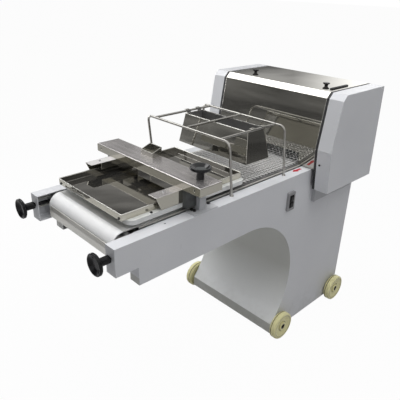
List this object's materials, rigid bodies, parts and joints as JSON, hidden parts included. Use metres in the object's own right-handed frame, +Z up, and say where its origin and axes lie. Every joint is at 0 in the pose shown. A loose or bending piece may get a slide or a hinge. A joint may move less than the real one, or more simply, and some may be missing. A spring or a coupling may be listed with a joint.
{
  "type": "dough moulder",
  "caption": "Dough moulder: white pedestal body, sheeting rollers in a polished head, belt conveyor, curling net, feed hopper in a rod guard and a height-set press board.",
  "frame": {"origin": "on the floor, under the middle of the whole machine", "axes": "+X along the conveyor from the outfeed end to the head, +Z up, the switch on the -Y side"},
  "size_m": [1.417, 0.68, 1.12],
  "materials": {
    "white_paint": "light grey-white powder coat",
    "polished_steel": "mirror-polished stainless sheet",
    "bright_rod": "bright stainless rod",
    "plain_steel": "satin steel",
    "roller_steel": "ground steel",
    "belt_white": "smooth white belt",
    "board_grey": "pale plastic board",
    "black_rubber": "black rubber edging",
    "black_plastic": "black moulded plastic",
    "switch_grey": "grey switch frame",
    "motor_iron": "painted motor housing",
    "wheel_cream": "cream moulded wheel"
  },
  "bodies": {
    "frame": {"near_side_panel": "white_paint", "far_side_panel": "white_paint", "arm_plates": "white_paint", "arch_liner": "white_paint", "base_plate": "white_paint", "rear_panel": "white_paint", "near_casing": "white_paint", "far_casing": "white_paint", "rail_brackets": "white_paint", "feed_hopper": "polished_steel", "scraper_tray": "polished_steel", "infeed_chute": "polished_steel", "rear_cover": "polished_steel", "edge_strips": "polished_steel", "scraper_blades": "polished_steel", "guard_hoops": "bright_rod", "guard_bars": "bright_rod", "net_rod": "bright_rod", "hinge_pin": "bright_rod", "tie_bars": "bright_rod", "head_plates": "plain_steel", "cross_bars": "plain_steel", "belt_bed": "plain_steel", "roller_blocks": "plain_steel", "axles": "plain_steel", "body_screws": "plain_steel", "curl_net": "plain_steel", "drive_chain": "roller_steel", "conveyor_belt": "belt_white", "edge_trims": "black_rubber", "vee_belt": "black_rubber", "switch_insert": "black_plastic", "cable_gland": "black_plastic", "switch_plate": "switch_grey", "motor": "motor_iron"},
    "hood": {"hood": "polished_steel", "hood_knobs": "black_plastic"},
    "carriage": {"press_board": "board_grey", "tray": "polished_steel", "ears": "polished_steel", "guide_blocks": "black_plastic", "bridge": "polished_steel", "guide_pin": "plain_steel", "bridge_pocket": "polished_steel"},
    "near_lift_knob": {"near_lift_knob": "black_plastic"},
    "near_tension_knob": {"near_tension_knob": "black_plastic"},
    "far_tension_knob": {"far_tension_knob": "black_plastic"},
    "front_roller": {"front_roller": "roller_steel"},
    "drive_roller": {"drive_roller": "roller_steel"},
    "upper_front_roller": {"upper_front_roller": "roller_steel"},
    "upper_rear_roller": {"upper_rear_roller": "roller_steel"},
    "lower_front_roller": {"lower_front_roller": "roller_steel"},
    "lower_rear_roller": {"lower_rear_roller": "roller_steel"},
    "motor_pulley": {"motor_pulley": "roller_steel"},
    "near_front_wheel": {"near_front_wheel": "wheel_cream"},
    "far_front_wheel": {"far_front_wheel": "wheel_cream"},
    "near_rear_wheel": {"near_rear_wheel": "wheel_cream"},
    "far_rear_wheel": {"far_rear_wheel": "wheel_cream"},
    "start_button": {"start_button": "black_plastic"},
    "stop_button": {"stop_button": "black_plastic"}
  },
  "joints": [
    {"name": "belt_drive_spin", "type": "hinge", "parent": "frame", "child": "drive_roller", "pos_m": [0.5625, 0, 0.755], "axis": [0, 1, 0], "continuous": true},
    {"name": "front_roller_spin", "type": "hinge", "parent": "frame", "child": "front_roller", "pos_m": [-0.5775, 0, 0.755], "axis": [0, 1, 0], "continuous": true},
    {"name": "lower_rear_roller_spin", "type": "hinge", "parent": "frame", "child": "lower_rear_roller", "pos_m": [0.525, 0, 0.85], "axis": [0, 1, 0], "continuous": true},
    {"name": "lower_front_roller_spin", "type": "hinge", "parent": "frame", "child": "lower_front_roller", "pos_m": [0.45, 0, 0.85], "axis": [0, 1, 0], "continuous": true},
    {"name": "upper_rear_roller_spin", "type": "hinge", "parent": "frame", "child": "upper_rear_roller", "pos_m": [0.5275, 0, 0.942], "axis": [0, 1, 0], "continuous": true},
    {"name": "upper_front_roller_spin", "type": "hinge", "parent": "frame", "child": "upper_front_roller", "pos_m": [0.4475, 0, 0.942], "axis": [0, 1, 0], "continuous": true},
    {"name": "motor_spin", "type": "hinge", "parent": "frame", "child": "motor_pulley", "pos_m": [0.4975, 0, 0.116], "axis": [0, 1, 0], "continuous": true},
    {"name": "near_front_wheel_spin", "type": "hinge", "parent": "frame", "child": "near_front_wheel", "pos_m": [0.1975, -0.278, 0.065], "axis": [0, 1, 0], "continuous": true},
    {"name": "far_front_wheel_spin", "type": "hinge", "parent": "frame", "child": "far_front_wheel", "pos_m": [0.1975, 0.278, 0.065], "axis": [0, 1, 0], "continuous": true},
    {"name": "near_rear_wheel_spin", "type": "hinge", "parent": "frame", "child": "near_rear_wheel", "pos_m": [0.6405, -0.278, 0.065], "axis": [0, 1, 0], "continuous": true},
    {"name": "far_rear_wheel_spin", "type": "hinge", "parent": "frame", "child": "far_rear_wheel", "pos_m": [0.6405, 0.278, 0.065], "axis": [0, 1, 0], "continuous": true},
    {"name": "hood_hinge", "type": "hinge", "parent": "frame", "child": "hood", "pos_m": [0.6375, 0, 1.096], "axis": [0, 1, 0], "range_deg": [0, 95]},
    {"name": "press_lift", "type": "slide", "parent": "frame", "child": "carriage", "axis": [0, 0, 1], "range_m": [-0.008, 0.024]},
    {"name": "near_lift_knob_turn", "type": "hinge", "parent": "carriage", "child": "near_lift_knob", "pos_m": [-0.2945, -0.225, 0.905], "axis": [0, 0, 1], "range_deg": [-720, 2160]},
    {"name": "near_tension_knob_turn", "type": "hinge", "parent": "frame", "child": "near_tension_knob", "pos_m": [-0.6725, -0.232, 0.755], "axis": [1, 0, 0], "continuous": true},
    {"name": "far_tension_knob_turn", "type": "hinge", "parent": "frame", "child": "far_tension_knob", "pos_m": [-0.6725, 0.232, 0.755], "axis": [1, 0, 0], "continuous": true},
    {"name": "start_button_press", "type": "slide", "parent": "frame", "child": "start_button", "axis": [0, 1, 0], "range_m": [0, 0.003], "stiffness_N_per_m": 300},
    {"name": "stop_button_press", "type": "slide", "parent": "frame", "child": "stop_button", "axis": [0, 1, 0], "range_m": [0, 0.003], "stiffness_N_per_m": 300}
  ],
  "couplings": [
    {"joint": "front_roller_spin", "follows": "belt_drive_spin", "ratio": 1},
    {"joint": "lower_rear_roller_spin", "follows": "belt_drive_spin", "ratio": 1},
    {"joint": "lower_front_roller_spin", "follows": "belt_drive_spin", "ratio": -1},
    {"joint": "upper_rear_roller_spin", "follows": "belt_drive_spin", "ratio": 0.83333},
    {"joint": "upper_front_roller_spin", "follows": "belt_drive_spin", "ratio": -0.83333},
    {"joint": "motor_spin", "follows": "belt_drive_spin", "ratio": 1},
    {"joint": "near_lift_knob_turn", "follows": "press_lift", "rad_per_m": 1570.8}
  ]
}
